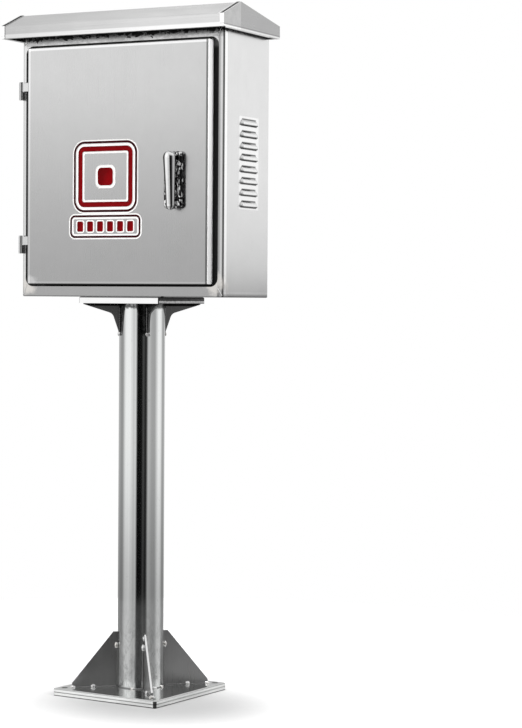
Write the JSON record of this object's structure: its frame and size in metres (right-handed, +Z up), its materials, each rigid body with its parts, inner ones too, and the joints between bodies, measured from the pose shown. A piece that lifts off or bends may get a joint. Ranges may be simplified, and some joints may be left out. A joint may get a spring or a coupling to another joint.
{
  "type": "outdoor electrical cabinet on a column",
  "caption": "Stainless-steel weatherproof electrical cabinet with a pitched canopy, hinged door, lever lock and side louvres, on a round column with gusseted base and top plates.",
  "frame": {"origin": "on the column's axis, on the underside of the base plate, which is the middle of the bounding box's bottom", "axes": "+Z up along the column, -Y the way the door faces, +X to the right seen from in front of the door"},
  "size_m": [0.55, 0.292, 1.4812],
  "materials": {
    "stainless_sheet": "satin",
    "polished_column": "polished",
    "lock_chrome": "polished",
    "black_rubber": "matt",
    "zinc_plate": "zinc plated",
    "fastener_steel": "plain"
  },
  "bodies": {
    "cabinet": {"base_plate": "stainless_sheet", "base_gusset_front_right": "stainless_sheet", "base_gusset_back_right": "stainless_sheet", "base_gusset_back_left": "stainless_sheet", "base_gusset_front_left": "stainless_sheet", "post_tube": "polished_column", "top_plate": "stainless_sheet", "top_gusset_front_right": "stainless_sheet", "top_gusset_back_right": "stainless_sheet", "top_gusset_back_left": "stainless_sheet", "top_gusset_front_left": "stainless_sheet", "post_bolts": "fastener_steel", "post_washers": "fastener_steel", "post_nuts": "fastener_steel", "cabinet_floor": "stainless_sheet", "cabinet_side_right": "stainless_sheet", "cabinet_top": "stainless_sheet", "cabinet_side_left": "stainless_sheet", "gutter_frame": "stainless_sheet", "cabinet_back": "stainless_sheet", "cable_grommet": "black_rubber", "roof_sheet": "stainless_sheet", "roof_gable_right": "stainless_sheet", "roof_gable_left": "stainless_sheet", "roof_bracket_right": "stainless_sheet", "roof_bracket_left": "stainless_sheet", "bracket_screws": "fastener_steel", "bracket_nuts": "fastener_steel", "roof_screws": "fastener_steel", "roof_nuts": "fastener_steel", "mounting_plate": "zinc_plate", "plate_studs": "fastener_steel", "plate_spacers": "fastener_steel", "plate_washers": "fastener_steel", "plate_nuts": "fastener_steel", "earth_stud": "fastener_steel", "earth_washer": "fastener_steel", "earth_nuts": "fastener_steel", "hinge_upper_body_leaf": "stainless_sheet", "hinge_lower_body_leaf": "stainless_sheet", "hinge_upper_pin": "fastener_steel", "hinge_lower_pin": "fastener_steel"},
    "door": {"door_panel": "stainless_sheet", "door_stiffener": "stainless_sheet", "door_gasket": "black_rubber", "door_earth_stud": "fastener_steel", "door_earth_nut": "fastener_steel", "lock_base": "lock_chrome", "lock_seal": "black_rubber", "lock_nut": "zinc_plate", "lock_screw": "fastener_steel", "hinge_upper_door_leaf": "stainless_sheet", "hinge_lower_door_leaf": "stainless_sheet"},
    "handle": {"lever": "lock_chrome", "spindle": "lock_chrome", "tongue": "zinc_plate", "tongue_washer": "fastener_steel", "tongue_screw": "fastener_steel"}
  },
  "joints": [
    {"name": "door_hinge", "type": "hinge", "parent": "cabinet", "child": "door", "pos_m": [-0.251, -0.0985, 1.144], "axis": [0, 0, -1], "range_deg": [0, 120]},
    {"name": "lever_turn", "type": "hinge", "parent": "door", "child": "handle", "pos_m": [0.138, -0.102, 1.157], "axis": [0, 1, 0], "range_deg": [0, 90]}
  ]
}
